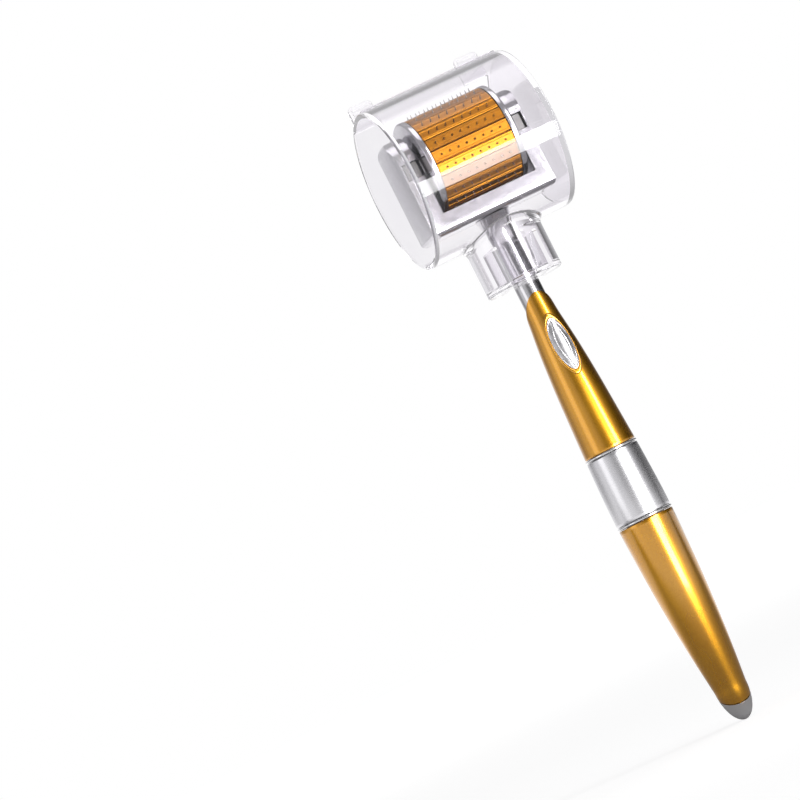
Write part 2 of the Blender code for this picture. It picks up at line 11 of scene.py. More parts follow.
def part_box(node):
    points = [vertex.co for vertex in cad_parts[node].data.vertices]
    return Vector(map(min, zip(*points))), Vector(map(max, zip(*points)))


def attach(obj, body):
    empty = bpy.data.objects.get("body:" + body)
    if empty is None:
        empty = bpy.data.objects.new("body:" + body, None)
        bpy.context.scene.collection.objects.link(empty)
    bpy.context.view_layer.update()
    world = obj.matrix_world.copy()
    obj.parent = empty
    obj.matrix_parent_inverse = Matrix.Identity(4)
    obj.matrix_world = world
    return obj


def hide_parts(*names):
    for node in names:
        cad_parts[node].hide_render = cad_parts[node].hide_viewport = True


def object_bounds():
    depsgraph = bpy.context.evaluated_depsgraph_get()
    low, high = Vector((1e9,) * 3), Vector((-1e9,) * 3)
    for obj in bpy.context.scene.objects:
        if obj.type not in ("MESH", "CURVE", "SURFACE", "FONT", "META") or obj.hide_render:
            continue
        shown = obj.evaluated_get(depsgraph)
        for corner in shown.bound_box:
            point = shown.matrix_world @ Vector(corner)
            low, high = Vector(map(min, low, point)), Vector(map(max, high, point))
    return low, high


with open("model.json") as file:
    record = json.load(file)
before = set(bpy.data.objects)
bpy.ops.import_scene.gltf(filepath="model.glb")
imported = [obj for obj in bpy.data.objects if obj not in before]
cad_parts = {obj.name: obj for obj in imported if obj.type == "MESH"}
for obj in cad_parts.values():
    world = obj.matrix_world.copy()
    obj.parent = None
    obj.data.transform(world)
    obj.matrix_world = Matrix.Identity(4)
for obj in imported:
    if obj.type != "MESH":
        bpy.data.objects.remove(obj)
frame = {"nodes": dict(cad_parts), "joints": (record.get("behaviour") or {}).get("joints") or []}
cad_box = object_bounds()

MM = 0.001
GAP = 0.1 * MM  # between two pieces that rest on each other
SIDES = 128  # facets round a turned piece

# ------------ sizes read from the frame


def joint(name):
    return next(j for j in frame["joints"] if j["name"] == name)


AXLE = Vector(joint("roller_spin")["pos_m"])
YOKE_LOW, YOKE_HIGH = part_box("yoke")
NECK_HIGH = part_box("neck")[1]
BADGE_LOW, BADGE_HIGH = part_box("badge")
BLOCK_LOW, BLOCK_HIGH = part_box("right_axle_block")
STRIP_LOW, STRIP_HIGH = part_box("needle_strip_01")
FLANGE_LOW, FLANGE_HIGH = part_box("right_flange")
COVER_LOW, COVER_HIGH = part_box("clear_cover")
JOINER_LOW, JOINER_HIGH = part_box("grip_joiner")
ROD_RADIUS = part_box("core_rod")[1].x
ROWS = sum(name.startswith("needle_strip") for name in frame["nodes"])

# ------------ shape of the handle
TAIL_ROUND = 8.0 * MM  # height of the half-ellipse at the tail
TAIL_RADIUS = 3.85 * MM  # where the half-ellipse ends
UPPER_SCARF_SLOPE = -1.37  # rise towards the back of the cut round the stem
TAIL_SCARF_SLOPE = 0.55
STEM_RADIUS = 3.0 * MM
STEM_FOOT = 71.0 * MM
FLARE_LENGTH = 7.9 * MM
FLARE_POWER = 2.4
TAIL_PLUG_RADIUS = 2.6 * MM
TAIL_PLUG_TOP = 15.0 * MM
BORE_MARGIN = 1.0 * MM  # from the end of a sleeve, or of what sits in it, to the next step of its bore
BORE_TAPER = 0.5 * MM

# ------------ shape of the badge
BADGE_PROUD = 0.25 * MM
BADGE_SUNK = 0.2 * MM
BADGE_EDGE = ((0.99, 0.85), (1.0, 0.55))  # (share of the half sizes, share of BADGE_PROUD)
BEZEL_MIDDLE = 1.10  # as shares of the badge's half sizes
BEZEL_HALF = 0.095
BEZEL_RISE = 0.20 * MM
# The relief's lengths are shares of the badge's half sizes, its heights are shares of BADGE_PROUD.
RIM_START = 0.90
RIM_SLOPE = 0.05
DOME_HEIGHT = 0.85
LEAF_HALF_WIDTH = 0.50
LEAF_HALF_LENGTH = 0.78
LEAF_HEIGHT = 0.16
VEIN_HEIGHT = 0.20
VEIN_CLOSENESS = 16.0
VEIN_SLANT = 7.0
GROOVE_DEPTH = 0.25
GROOVE_WIDTH = 0.10
GROOVE_END = 0.7

# ------------ shape of the head
YOKE_WAIST = -2.6 * MM  # height from the axle at which the cheeks are widest
YOKE_SIDE_RADIUS = 71.0 * MM
YOKE_CHEEK_BULGE = 1.1 * MM
CRADLE_RADIUS = 13.4 * MM
SLOT_OUTER_X = 14.9 * MM
BAY_FOOT = -11.0 * MM  # of the bay's straight sides, from the axle

# ------------ shape of the drum
NEEDLES_PER_ROW = 8
NEEDLE_PITCH = 2.14 * MM
NEEDLE_LENGTH = 1.05 * MM
NEEDLE_RADIUS = 0.15 * MM
NEEDLE_ROOT = 0.14 * MM  # length below the strip's face
STRIP_THICKNESS = 1.3 * MM
STRIP_SEAM = 0.3 * MM
SCORE_DEPTH = 0.06 * MM  # of the lines along each strip
SCORE_PLACE = 0.62  # as a share of the strip's half width
DIMPLE_DEPTH = 0.10 * MM
DIMPLE_FLOOR_RADIUS = 0.18 * MM
DIMPLE_MOUTH_RADIUS = 0.30 * MM
TONE_STEP = 2.4  # radians between the tones of neighbouring strips
HUB_RADIUS = 6.0 * MM
HUB_FOOT_RADIUS = 6.4 * MM
HUB_RISE = 0.3 * MM

# ------------ shape of the cover
# Heights and depths are from the middle of the cover's drum.
COVER_RADIUS = (COVER_HIGH.y - COVER_LOW.y) / 2
COVER_WALL = 1.2 * MM
COVER_CENTRE = Vector((0.0, 0.0, AXLE.z - 1.9 * MM))
COVER_RIM_ROUND = 0.55 * MM
MOUTH_TOP = 16.8 * MM  # upper edge of the open back
MOUTH_Y = 5.5 * MM  # the drum's underside and the collar end here
COLLAR_RADIUS = 9.2 * MM
COLLAR_WALL = 1.1 * MM
COLLAR_FILLET = 1.6 * MM
COLLAR_FOOT_ROUND = 0.35 * MM
COLLAR_SIDES = 96
WELL_TOP = -9.0 * MM  # of the collar's hollow, which opens into the drum
JAW_OUTER_X = 5.5 * MM
JAW_INNER_X = 4.4 * MM
JAW_LIP_X = 3.2 * MM
JAW_FRONT_Y = -7.0 * MM
JAW_BACK_Y = 3.0 * MM
JAW_TOP = -21.5 * MM
JAW_ROUND = 0.2 * MM
HOOK_DEPTH = 1.1 * MM
HOOK_OVERLAP = 0.4 * MM  # with its jaw
NOTCH_RADIUS = 3.4 * MM
LUG_X = 13.8 * MM
LUG_HALF_WIDTH = 3.0 * MM
LUG_FRONT_Y = 8.2 * MM
LUG_BACK_Y = 9.8 * MM
LUG_FOOT = 15.0 * MM  # under the upper edge of the open back, which cuts it off
LUG_ROUND = 1.1 * MM
LUG_BEVEL = 0.5 * MM
RIDGE_RADIUS = 0.34 * MM
RIDGE_HEIGHTS = (0.42, 0.72)  # as shares of the lug's height above the drum
RIDGE_INSET = 0.7 * MM
BEAD_RADIUS = 0.42 * MM  # moulded along the top of the cover
BEAD_END = 17.3 * MM
BEAD_TILT = math.radians(7.0)  # towards the front

# ------------ mesh building


def spread(low, high, steps):
    return [low + (high - low) * i / steps for i in range(steps + 1)]


def arc(centre, radius, start, end, steps):
    """Points of a circular arc from one angle to the other, in degrees."""
    angles = [math.radians(a) for a in spread(start, end, steps)]
    return [(centre[0] + radius * math.cos(a), centre[1] + radius * math.sin(a)) for a in angles]


def eased(corners, steps=5):
    """Closed outline of (across, up, radius) corners, each turned into an arc of its radius."""
    points = []
    for i, (across, up, radius) in enumerate(corners):
        here = Vector((across, up))
        if radius == 0.0:
            points.append((across, up))
            continue
        before = (Vector(corners[i - 1][:2]) - here).normalized()
        after = (Vector(corners[(i + 1) % len(corners)][:2]) - here).normalized()
        half = before.angle(after) / 2
        centre = here + (before + after).normalized() * radius / math.sin(half)
        reach = radius / math.tan(half)
        first, last = here + before * reach - centre, here + after * reach - centre
        start = math.atan2(first.y, first.x)
        turn = math.atan2(first.x * last.y - first.y * last.x, first.dot(last))
        for share in spread(0.0, 1.0, steps):
            angle = start + turn * share
            points.append((centre.x + radius * math.cos(angle), centre.y + radius * math.sin(angle)))
    return points


def loft(rows, closed=False):
    """Skin through rows of points. Each row is a ring, or a single point at a tip."""
    shape = bmesh.new()
    rings = [[shape.verts.new(point) for point in row] for row in rows]
    pairs = list(zip(rings, rings[1:]))
    if closed:
        pairs.append((rings[-1], rings[0]))
    for low, high in pairs:
        count = max(len(low), len(high))
        for i in range(count):
            j = (i + 1) % count
            corners = [low[i % len(low)], low[j % len(low)], high[j % len(high)], high[i % len(high)]]
            shape.faces.new(list(dict.fromkeys(corners)))
    bmesh.ops.recalc_face_normals(shape, faces=shape.faces)
    return shape


def ring(place, sides=SIDES):
    """Points round Z. place gives (radius, height) at an angle from the front."""
    points = []
    for i in range(sides):
        angle = 2 * math.pi * i / sides
        radius, height = place(angle)
        points.append((radius * math.sin(angle), -radius * math.cos(angle), height))
    return points


def level_ring(radius, height, sides=SIDES):
    if radius < 1e-7:
        return [(0.0, 0.0, height)]
    return ring(lambda angle: (radius, height), sides)


def lathe(profile, closed=True, sides=SIDES):
    """Solid of revolution about Z of a (radius, height) outline."""
    return loft([level_ring(radius, height, sides) for radius, height in profile], closed)


FRONT_VIEW = Matrix(((1, 0, 0, 0), (0, 0, -1, 0), (0, 1, 0, 0), (0, 0, 0, 1)))  # outline in XZ
SIDE_VIEW = Matrix(((0, 0, 1, 0), (1, 0, 0, 0), (0, 1, 0, 0), (0, 0, 0, 1)))  # outline in YZ
PLAN_VIEW = Matrix.Identity(4)  # outline in XY
ALONG_X = Matrix.Rotation(math.pi / 2, 4, "Y")


def prism(outline, low, high, view):
    """A flat outline given thickness from low to high along its view."""
    rows = [[view @ Vector((across, up, depth)) for across, up in outline] for depth in (low, high)]
    shape = loft(rows)
    shape.verts.ensure_lookup_table()
    count = len(outline)
    shape.faces.new(shape.verts[:count])
    shape.faces.new(shape.verts[count : 2 * count])
    bmesh.ops.recalc_face_normals(shape, faces=shape.faces)
    return shape


def rounded_box(low, high, radius, segments=3):
    shape = bmesh.new()
    bmesh.ops.create_cube(shape, size=1.0)
    low, high = Vector(low), Vector(high)
    bmesh.ops.scale(shape, verts=shape.verts, vec=high - low)
    bmesh.ops.translate(shape, verts=shape.verts, vec=(low + high) / 2)
    bmesh.ops.bevel(
        shape, geom=shape.edges[:], offset=radius, segments=segments, profile=0.5, affect="EDGES"
    )
    return shape


def shifted(shape, matrix):
    shape.transform(matrix)
    return shape


def joined(base, tool, operation):
    """bmesh of two solids joined, cut or crossed. Both are used up."""
    objects = []
    for shape in (base, tool):
        mesh = bpy.data.meshes.new("rough")
        shape.to_mesh(mesh)
        shape.free()
        objects.append(bpy.data.objects.new("rough", mesh))
        bpy.context.scene.collection.objects.link(objects[-1])
    modifier = objects[0].modifiers.new("join", "BOOLEAN")
    modifier.operation = operation
    modifier.solver = "EXACT"
    modifier.object = objects[1]
    bpy.context.view_layer.update()
    graph = bpy.context.evaluated_depsgraph_get()
    result = bmesh.new()
    result.from_object(objects[0], graph)
    for helper in objects:
        bpy.data.objects.remove(helper)
    bmesh.ops.remove_doubles(result, verts=result.verts, dist=1e-7)
    return result


def piece(name, shape, material, body, nodes, sharp=32.0):
    """Makes the object, smooth apart from its sharp edges, and puts it in its CAD nodes' place."""
    mesh = bpy.data.meshes.new(name)
    shape.to_mesh(mesh)
    shape.free()
    mesh.materials.append(material)
    mesh.shade_smooth()
    mesh.set_sharp_from_angle(angle=math.radians(sharp))
    obj = bpy.data.objects.new(name, mesh)
    bpy.context.scene.collection.objects.link(obj)
    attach(obj, body)
    if nodes:
        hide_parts(*nodes)
    return obj


# ------------ finishes


def set_inputs(tree, target, inputs):
    """Each input of the target node is given a value or another node's output."""
    for key, value in inputs.items():
        if isinstance(value, bpy.types.NodeSocket):
            tree.links.new(value, target.inputs[key])
        else:
            target.inputs[key].default_value = value


def node(tree, kind, inputs=None, **settings):
    made = tree.nodes.new("ShaderNode" + kind)
    for key, setting in settings.items():
        setattr(made, key, setting)
    set_inputs(tree, made, inputs or {})
    return made


def calculate(tree, operation, first, second):
    return node(tree, "Math", {0: first, 1: second}, operation=operation).outputs[0]


def noise(tree, scale, detail=3.0, roughness=0.5):
    """Noise over the piece's own coordinates, with a scale per metre along X, Y and Z."""
    place = node(tree, "TexCoord").outputs["Object"]
    stretched = node(tree, "Mapping", {"Vector": place, "Scale": scale}).outputs["Vector"]
    grain = node(
        tree,
        "TexNoise",
        {"Vector": stretched, "Scale": 1.0, "Detail": detail, "Roughness": roughness},
    )
    return grain.outputs["Fac"]


def between(tree, factor, low, high):
    """low to high as the factor goes over the middle of its range."""
    inputs = {"Value": factor, "From Min": 0.3, "From Max": 0.7, "To Min": low, "To Max": high}
    return node(tree, "MapRange", inputs).outputs["Result"]


def blended(tree, factor, first, second):
    mix = node(tree, "Mix", data_type="RGBA")
    for key, value in (("Factor", factor), ("A", first), ("B", second)):
        socket = next(s for s in mix.inputs if s.name == key and s.enabled)
        if isinstance(value, bpy.types.NodeSocket):
            tree.links.new(value, socket)
        else:
            socket.default_value = value if key == "Factor" else (*value, 1.0)
    return next(s for s in mix.outputs if s.enabled)


def finish(name):
    """A new material, its node tree and its surface shader."""
    material = bpy.data.materials.new(name)
    material.use_nodes = True
    tree = material.node_tree
    return material, tree, tree.nodes["Principled BSDF"]


def metal(name, light, dark, roughness, brush, depth):
    """Plated or brushed metal: clouded colour, brush lines in its roughness and its bump.

    brush is the lines' closeness per metre along X, Y and Z, and depth is how deep they are.
    """
    material, tree, surface = finish(name)
    clouds = noise(tree, (140.0, 140.0, 140.0), detail=4.0)
    lines = noise(tree, brush, detail=4.0, roughness=0.65)
    bump = node(tree, "Bump", {"Height": lines, "Strength": 0.5, "Distance": depth})
    set_inputs(
        tree,
        surface,
        {
            "Base Color": blended(tree, between(tree, clouds, 0.0, 1.0), dark, light),
            "Metallic": 1.0,
            "Roughness": between(tree, lines, *roughness),
            "Normal": bump.outputs["Normal"],
        },
    )
    return material


def gold_lacquer():
    """Satin gold under a thin clear coat, with fine metallic flakes."""
    material, tree, surface = finish("satin_gold_lacquer")
    place = node(tree, "TexCoord").outputs["Object"]
    flakes = node(tree, "TexVoronoi", {"Vector": place, "Scale": 7000.0})
    flake_tone = node(tree, "SeparateColor", {"Color": flakes.outputs["Color"]}).outputs["Red"]
    clouds = noise(tree, (90.0, 90.0, 60.0), detail=3.0)
    base = blended(
        tree, between(tree, clouds, 0.0, 1.0), (0.62, 0.265, 0.006), (0.68, 0.31, 0.012)
    )
    colour = blended(tree, between(tree, flake_tone, 0.0, 0.3), base, (0.84, 0.45, 0.025))
    bump = node(
        tree,
        "Bump",
        {"Height": flakes.outputs["Distance"], "Strength": 0.25, "Distance": 0.004 * MM},
    )
    set_inputs(
        tree,
        surface,
        {
            "Base Color": colour,
            "Metallic": 1.0,
            "Roughness": between(tree, clouds, 0.26, 0.31),
            "Coat Weight": 1.0,
            "Coat Roughness": 0.10,
            "Coat IOR": 1.6,
            "Normal": bump.outputs["Normal"],
        },
    )
    return material


def strip_gold():
    """Amber-gold strips, drawn lengthwise, each a little different from its neighbour."""
    material, tree, surface = finish("drawn_gold_strip")
    tone = node(tree, "Attribute", attribute_name="tone").outputs["Fac"]
    lines = noise(tree, (90.0, 5200.0, 5200.0), detail=3.0, roughness=0.6)
    base = blended(tree, tone, (0.33, 0.120, 0.004), (0.37, 0.140, 0.006))
    colour = blended(tree, between(tree, lines, 0.0, 0.4), base, (0.46, 0.20, 0.02))
    bump = node(tree, "Bump", {"Height": lines, "Strength": 0.5, "Distance": 0.02 * MM})
    set_inputs(
        tree,
        surface,
        {
            "Base Color": colour,
            "Metallic": 0.97,
            "Roughness": between(tree, lines, 0.30, 0.40),
            "Normal": bump.outputs["Normal"],
        },
    )
    return material


def moulded(name, light, dark, roughness):
    """Opaque moulded plastic with a fine eroded grain."""
    material, tree, surface = finish(name)
    speckle = noise(tree, (900.0, 900.0, 900.0), detail=5.0, roughness=0.6)
    bump = node(tree, "Bump", {"Height": speckle, "Strength": 0.4, "Distance": 0.03 * MM})
    set_inputs(
        tree,
        surface,
        {
            "Base Color": blended(tree, between(tree, speckle, 0.0, 1.0), dark, light),
            "Roughness": between(tree, speckle, roughness - 0.06, roughness + 0.06),
            "Normal": bump.outputs["Normal"],
        },
    )
    return material


def clear_plastic():
    """Clear moulding with a trace of lilac. Light goes straight through to what it holds."""
    material, tree, surface = finish("clear_moulding")
    flow = noise(tree, (60.0, 60.0, 60.0), detail=2.0)
    tint = blended(tree, between(tree, flow, 0.0, 1.0), (0.95, 0.93, 0.965), (0.98, 0.965, 0.99))
    bump = node(tree, "Bump", {"Height": flow, "Strength": 0.12, "Distance": 0.2 * MM})
    set_inputs(
        tree,
        surface,
        {
            "Base Color": tint,
            "Roughness": between(tree, flow, 0.012, 0.03),
            "IOR": 1.38,
            "Transmission Weight": 1.0,
            "Normal": bump.outputs["Normal"],
        },
    )
    path = node(tree, "LightPath")
    for_light = calculate(
        tree, "MAXIMUM", path.outputs["Is Shadow Ray"], path.outputs["Is Diffuse Ray"]
    )
    trapped = calculate(tree, "GREATER_THAN", path.outputs["Ray Depth"], 4.5)
    straight_on = calculate(tree, "MAXIMUM", for_light, trapped)
    window = node(tree, "BsdfTransparent", {"Color": (0.96, 0.955, 0.965, 1.0)})
    mix = node(tree, "MixShader", {0: straight_on, 1: surface.outputs[0]})
    tree.links.new(window.outputs[0], mix.inputs[2])
    tree.links.new(mix.outputs[0], tree.nodes["Material Output"].inputs["Surface"])
    return material


# ------------ handle


def ring_outline(*names):
    """Sorted (height, radius) of the vertex rings on the outside of turned CAD nodes."""
    same_radius, fewest_points = 2e-6, 3
    rings = {}
    for name in names:
        for vertex in frame["nodes"][name].data.vertices:
            flat = vertex.co.xy
            faces_out = vertex.normal.xy.dot(flat) > 0.3 * flat.length
            by_badge = abs(flat.x) < BADGE_HIGH.x + 2 * GAP and flat.y < 0.0
            if faces_out and not by_badge:
                spot = (round(flat.x, 6), round(flat.y, 6))
                rings.setdefault(round(vertex.co.z, 6), {})[spot] = flat.length
    outline = []
    for height, spots in sorted(rings.items()):
        radius = max(spots.values())
        if sum(radius - r < same_radius for r in spots.values()) >= fewest_points:
            outline.append((height, radius))
    return outline


def highest_point(name):
    top = max((vertex.co for vertex in frame["nodes"][name].data.vertices), key=lambda co: co.z)
    return (top.z, top.xy.length)


HANDLE_OUTLINE = [(TAIL_ROUND, TAIL_RADIUS)] + [
    (height, radius)
    for height, radius in ring_outline("lower_grip", "centre_band", "upper_grip")
    if height > TAIL_ROUND
]
HANDLE_OUTLINE.append(highest_point("upper_grip"))


def handle_radius(height):
    """Outer radius of the handle: a half-ellipse tail, then a smooth cubic through the rings."""
    if height <= TAIL_ROUND:
        share = 1.0 - max(height, 0.0) / TAIL_ROUND
        return TAIL_RADIUS * math.sqrt(max(0.0, 1.0 - share * share))
    last = len(HANDLE_OUTLINE) - 1
    i = max([k for k in range(last) if HANDLE_OUTLINE[k][0] <= height], default=0)
    before, after = HANDLE_OUTLINE[max(i - 1, 0)], HANDLE_OUTLINE[min(i + 2, last)]
    (z0, r0), (z1, r1) = HANDLE_OUTLINE[i], HANDLE_OUTLINE[i + 1]
    span = z1 - z0
    slope0 = (r1 - before[1]) / (z1 - before[0]) * span
    slope1 = (after[1] - r0) / (after[0] - z0) * span
    t = (height - z0) / span
    return (
        (2 * t**3 - 3 * t**2 + 1) * r0
        + (t**3 - 2 * t**2 + t) * slope0
        + (3 * t**2 - 2 * t**3) * r1
        + (t**3 - t**2) * slope1
    )


def flat_end(height):
    return lambda radius, angle: height


def scarf_end(front_z, slope):
    """A slanted cut that passes through the handle's front surface at front_z."""
    front_y = -handle_radius(front_z)
    return lambda radius, angle: front_z + slope * (-radius * math.cos(angle) - front_y)


def meets(end, angle, start):
    """Height at which the handle's outer surface reaches an end."""
    height = start
    for _ in range(10):
        height = end(handle_radius(height), angle)
    return height


def edge_rings(end, start, ease, inward):
    """Rings that round an outer edge. inward is +1 at a low end and -1 at a high one."""
    rings = []
    for turn in spread(0.0, 90.0, 4):
        aside = ease * (1.0 - math.sin(math.radians(turn)))
        along = ease * (1.0 - math.cos(math.radians(turn)))

        def place(angle):
            outer = handle_radius(meets(end, angle, start))
            radius = outer - aside
            return radius, end(radius, angle) + inward * along

        rings.append(ring(place))
    return rings


def sleeve(low, high, span, bore, ease=0.15 * MM, steps=64):
    """Hollow length of the handle between two ends. The bore runs from the top down."""
    rings = edge_rings(low, span[0], ease, 1)
    for share in spread(0.0, 1.0, steps)[1:-1]:

        def place(angle):
            bottom = meets(low, angle, span[0]) + ease
            top = meets(high, angle, span[1]) - ease
            height = bottom + (top - bottom) * share
            return handle_radius(height), height

        rings.append(ring(place))
    rings += reversed(edge_rings(high, span[1], ease, -1))
    top_bore, foot_bore = bore[0][0], bore[-1][0]
    rings.append(ring(lambda angle: (top_bore, high(top_bore, angle))))
    rings += [level_ring(radius, height) for radius, height in bore]
    rings.append(ring(lambda angle: (foot_bore, low(foot_bore, angle))))
    return loft(rings, closed=True)


def make_upper_grip(gold):
    low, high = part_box("upper_grip")
    joiner = JOINER_HIGH.x + GAP
    stem = STEM_RADIUS + GAP
    step = JOINER_HIGH.z + GAP
    bore = [(stem, step + BORE_MARGIN), (stem, step), (joiner, step), (joiner, low.z + BORE_MARGIN)]
    end = scarf_end(high.z, UPPER_SCARF_SLOPE)
    shape = sleeve(flat_end(low.z), end, (low.z, high.z), bore)
    piece("upper_grip_sleeve", shape, gold, "handle", ["upper_grip"])


def make_lower_grip(gold):
    low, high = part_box("lower_grip")
    joiner, rod, plug = JOINER_HIGH.x + GAP, ROD_RADIUS + GAP, TAIL_PLUG_RADIUS + GAP
    step = JOINER_LOW.z - GAP
    bore = [
        (joiner, high.z - BORE_MARGIN),
        (joiner, step),
        (rod, step),
        (rod, TAIL_PLUG_TOP + BORE_MARGIN + BORE_TAPER),
        (plug, TAIL_PLUG_TOP + BORE_MARGIN),
    ]
    end = scarf_end(low.z, TAIL_SCARF_SLOPE)
    shape = sleeve(end, flat_end(high.z), (low.z, high.z), bore)
    piece("lower_grip_sleeve", shape, gold, "handle", ["lower_grip"])


def make_tail_tip(chrome):
    """Rounded tip whose slanted top meets the lower grip's foot."""
    ease = 0.12 * MM
    front_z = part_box("lower_grip")[0].z - 2 * GAP
    end = scarf_end(front_z, TAIL_SCARF_SLOPE)
    rings = [[(0.0, 0.0, 0.0)]]
    for share in spread(0.0, 1.0, 40)[1:]:
        rise = share * share  # close rings near the tip, where it curves most

        def place(angle):
            height = rise * (meets(end, angle, front_z) - ease)
            return handle_radius(height), height

        rings.append(ring(place))
    rings += reversed(edge_rings(end, front_z, ease, -1)[:-1])
    plug = TAIL_PLUG_RADIUS
    rings.append(ring(lambda angle: (plug, end(plug, angle))))
    socket = ROD_RADIUS + GAP
    socket_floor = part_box("core_rod")[0].z - GAP
    rings += [level_ring(plug, TAIL_PLUG_TOP), level_ring(socket, TAIL_PLUG_TOP)]
    rings += [level_ring(socket, socket_floor), level_ring(0.0, socket_floor)]
    piece("tail_tip", loft(rings), chrome, "handle", ["tail_cap"])


def make_band(brushed, chrome):
    """Brushed band, slightly crowned at its edges, between two polished trim rings."""
    low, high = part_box("centre_band")
    fit = JOINER_HIGH.x + GAP
    bore = [(fit, high.z - BORE_MARGIN), (fit, low.z + BORE_MARGIN)]
    ends = flat_end(low.z), flat_end(high.z)
    shape = sleeve(*ends, (low.z, high.z), bore, ease=0.22 * MM, steps=24)
    piece("brushed_band", shape, brushed, "handle", ["centre_band"])
    rim = 0.24 * MM
    for name in ("lower_trim_ring", "upper_trim_ring"):
        low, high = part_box(name)
        corners = [
            (high.x, low.z, rim),
            (high.x, high.z, rim),
            (fit, high.z, 0.0),
            (fit, low.z, 0.0),
        ]
        shape = lathe(eased(corners))
        piece(f"polished_{name}", shape, chrome, "handle", [name])


def leaf_relief(across, up):
    """Height share of the badge's face: a low dome with a plain leaf on it, in a raised rim."""
    out = math.hypot(across, up)
    rim = min(max((out - RIM_START) / RIM_SLOPE, 0.0), 1.0)
    dome = DOME_HEIGHT - DOME_HEIGHT * out * out
    half_leaf = LEAF_HALF_WIDTH * (1.0 - (up / LEAF_HALF_LENGTH) ** 2)
    share = min(abs(across) / max(half_leaf, 0.01), 1.3)  # 1 at the leaf's edge
    veins = 0.5 + 0.5 * math.cos(VEIN_CLOSENESS * up - VEIN_SLANT * abs(across))
    leaf = LEAF_HEIGHT * (1.0 - share) + VEIN_HEIGHT * veins * share * (1.0 - share)
    groove = 0.0
    if abs(up) < GROOVE_END:
        groove = GROOVE_DEPTH * math.exp(-(((share - 1.0) / GROOVE_WIDTH) ** 2))
    return max(rim, dome + leaf - groove)


def round_badge(out, lift, sides=96):
    """Ring of points round the badge's centre, on the handle's surface. out is 1 at its edge."""
    half_width = BADGE_HIGH.x
    half_length = (BADGE_HIGH.z - BADGE_LOW.z) / 2
    centre_z = (BADGE_HIGH.z + BADGE_LOW.z) / 2
    row = []
    for i in range(sides):
        angle = 2 * math.pi * i / sides
        across, up = out * math.sin(angle), out * math.cos(angle)
        x, z = half_width * across, centre_z + half_length * up
        outer = handle_radius(z) + lift(across, up)
        row.append((x, -math.sqrt(outer * outer - x * x), z))
    return row


def make_badge(silver, gold):
    """Oval plate let into the upper grip and bent to its surface, in a slim gold bezel."""

    def face(across, up):
        return BADGE_PROUD * leaf_relief(across, up)

    def underside(across, up):
        return -BADGE_SUNK

    rows = [round_badge(0.0, face)[:1]]
    rows += [round_badge(out, face) for out in spread(0.0, 0.97, 60)[1:]]
    for out, share in BADGE_EDGE:
        rows.append(round_badge(out, lambda across, up: share * BADGE_PROUD))
    rows.append(round_badge(1.0, underside))
    rows.append(round_badge(0.0, underside)[:1])
    piece("badge_plate", loft(rows), silver, "handle", ["badge"], sharp=50.0)

    bezel = []
    for turn in spread(0.0, 180.0, 8):
        out = BEZEL_MIDDLE - BEZEL_HALF * math.cos(math.radians(turn))
        lift = BEZEL_RISE * math.sin(math.radians(turn))
        bezel.append(round_badge(out, lambda across, up: lift))
    bezel.append(round_badge(BEZEL_MIDDLE, underside))
    shape = loft(bezel, closed=True)
    piece("badge_bezel", shape, gold, "handle", [], sharp=60.0)


def make_stem(silver):
    """Round shank that flares into an oval foot under the crossbar."""
    top = YOKE_LOW.z - GAP
    flare_start = top - FLARE_LENGTH

    def oval(height):
        share = min(max((height - flare_start) / FLARE_LENGTH, 0.0), 1.0) ** FLARE_POWER
        wide = STEM_RADIUS + (NECK_HIGH.x - STEM_RADIUS) * share
        deep = STEM_RADIUS + (NECK_HIGH.y - STEM_RADIUS) * share
        angles = [2 * math.pi * i / SIDES for i in range(SIDES)]
        return [(wide * math.sin(a), -deep * math.cos(a), height) for a in angles]

    heights = spread(STEM_FOOT, flare_start, 40)[:-1] + spread(flare_start, top, 36)
    rows = [[(0.0, 0.0, STEM_FOOT)]] + [oval(z) for z in heights] + [[(0.0, 0.0, top)]]
    shape = loft(rows)
    socket_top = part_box("core_rod")[1].z + GAP
    socket_radius = ROD_RADIUS + GAP
    socket_foot = STEM_FOOT - MM
    socket = lathe(
        [
            (0.0, socket_foot),
            (socket_radius, socket_foot),
            (socket_radius, socket_top),
            (0.0, socket_top),
        ],
        closed=False,
    )
    shape = joined(shape, socket, "DIFFERENCE")
    piece("stem", shape, silver, "handle", ["neck"], sharp=50.0)


# ------------ head


def fork_front_outline():
    """Barrel-sided U, with the drum's bay open at the top."""
    half_width, top, foot = YOKE_HIGH.x, YOKE_HIGH.z - AXLE.z, YOKE_LOW.z - AXLE.z
    inner = BLOCK_LOW.x - GAP

    def side(up):
        return half_width - (up - YOKE_WAIST) ** 2 / (2 * YOKE_SIDE_RADIUS)

    right = [(inner, BAY_FOOT), (inner, top)]
    top_round, foot_round = 1.5 * MM, 1.2 * MM
    shoulder, heel = top - top_round, foot + foot_round
    right += arc((side(shoulder) - top_round, shoulder), top_round, 90, 0, 6)
    right += [(side(z), z) for z in reversed(spread(heel, shoulder, 26))][1:-1]
    right += arc((side(heel) - foot_round, heel), foot_round, 0, -90, 6)
    return right + [(-across, up) for across, up in reversed(right)]


def fork_side_outline():
    """Half-round arm tops over a square foot with eased edges."""
    depth, top, foot = YOKE_HIGH.y, YOKE_HIGH.z - AXLE.z, YOKE_LOW.z - AXLE.z
    foot_round = 1.5 * MM
    outline = arc((0.0, top - depth), depth, 0, 180, 40)
    outline += arc((-depth + foot_round, foot + foot_round), foot_round, 180, 270, 6)
    outline += arc((depth - foot_round, foot + foot_round), foot_round, 270, 360, 6)
    return outline


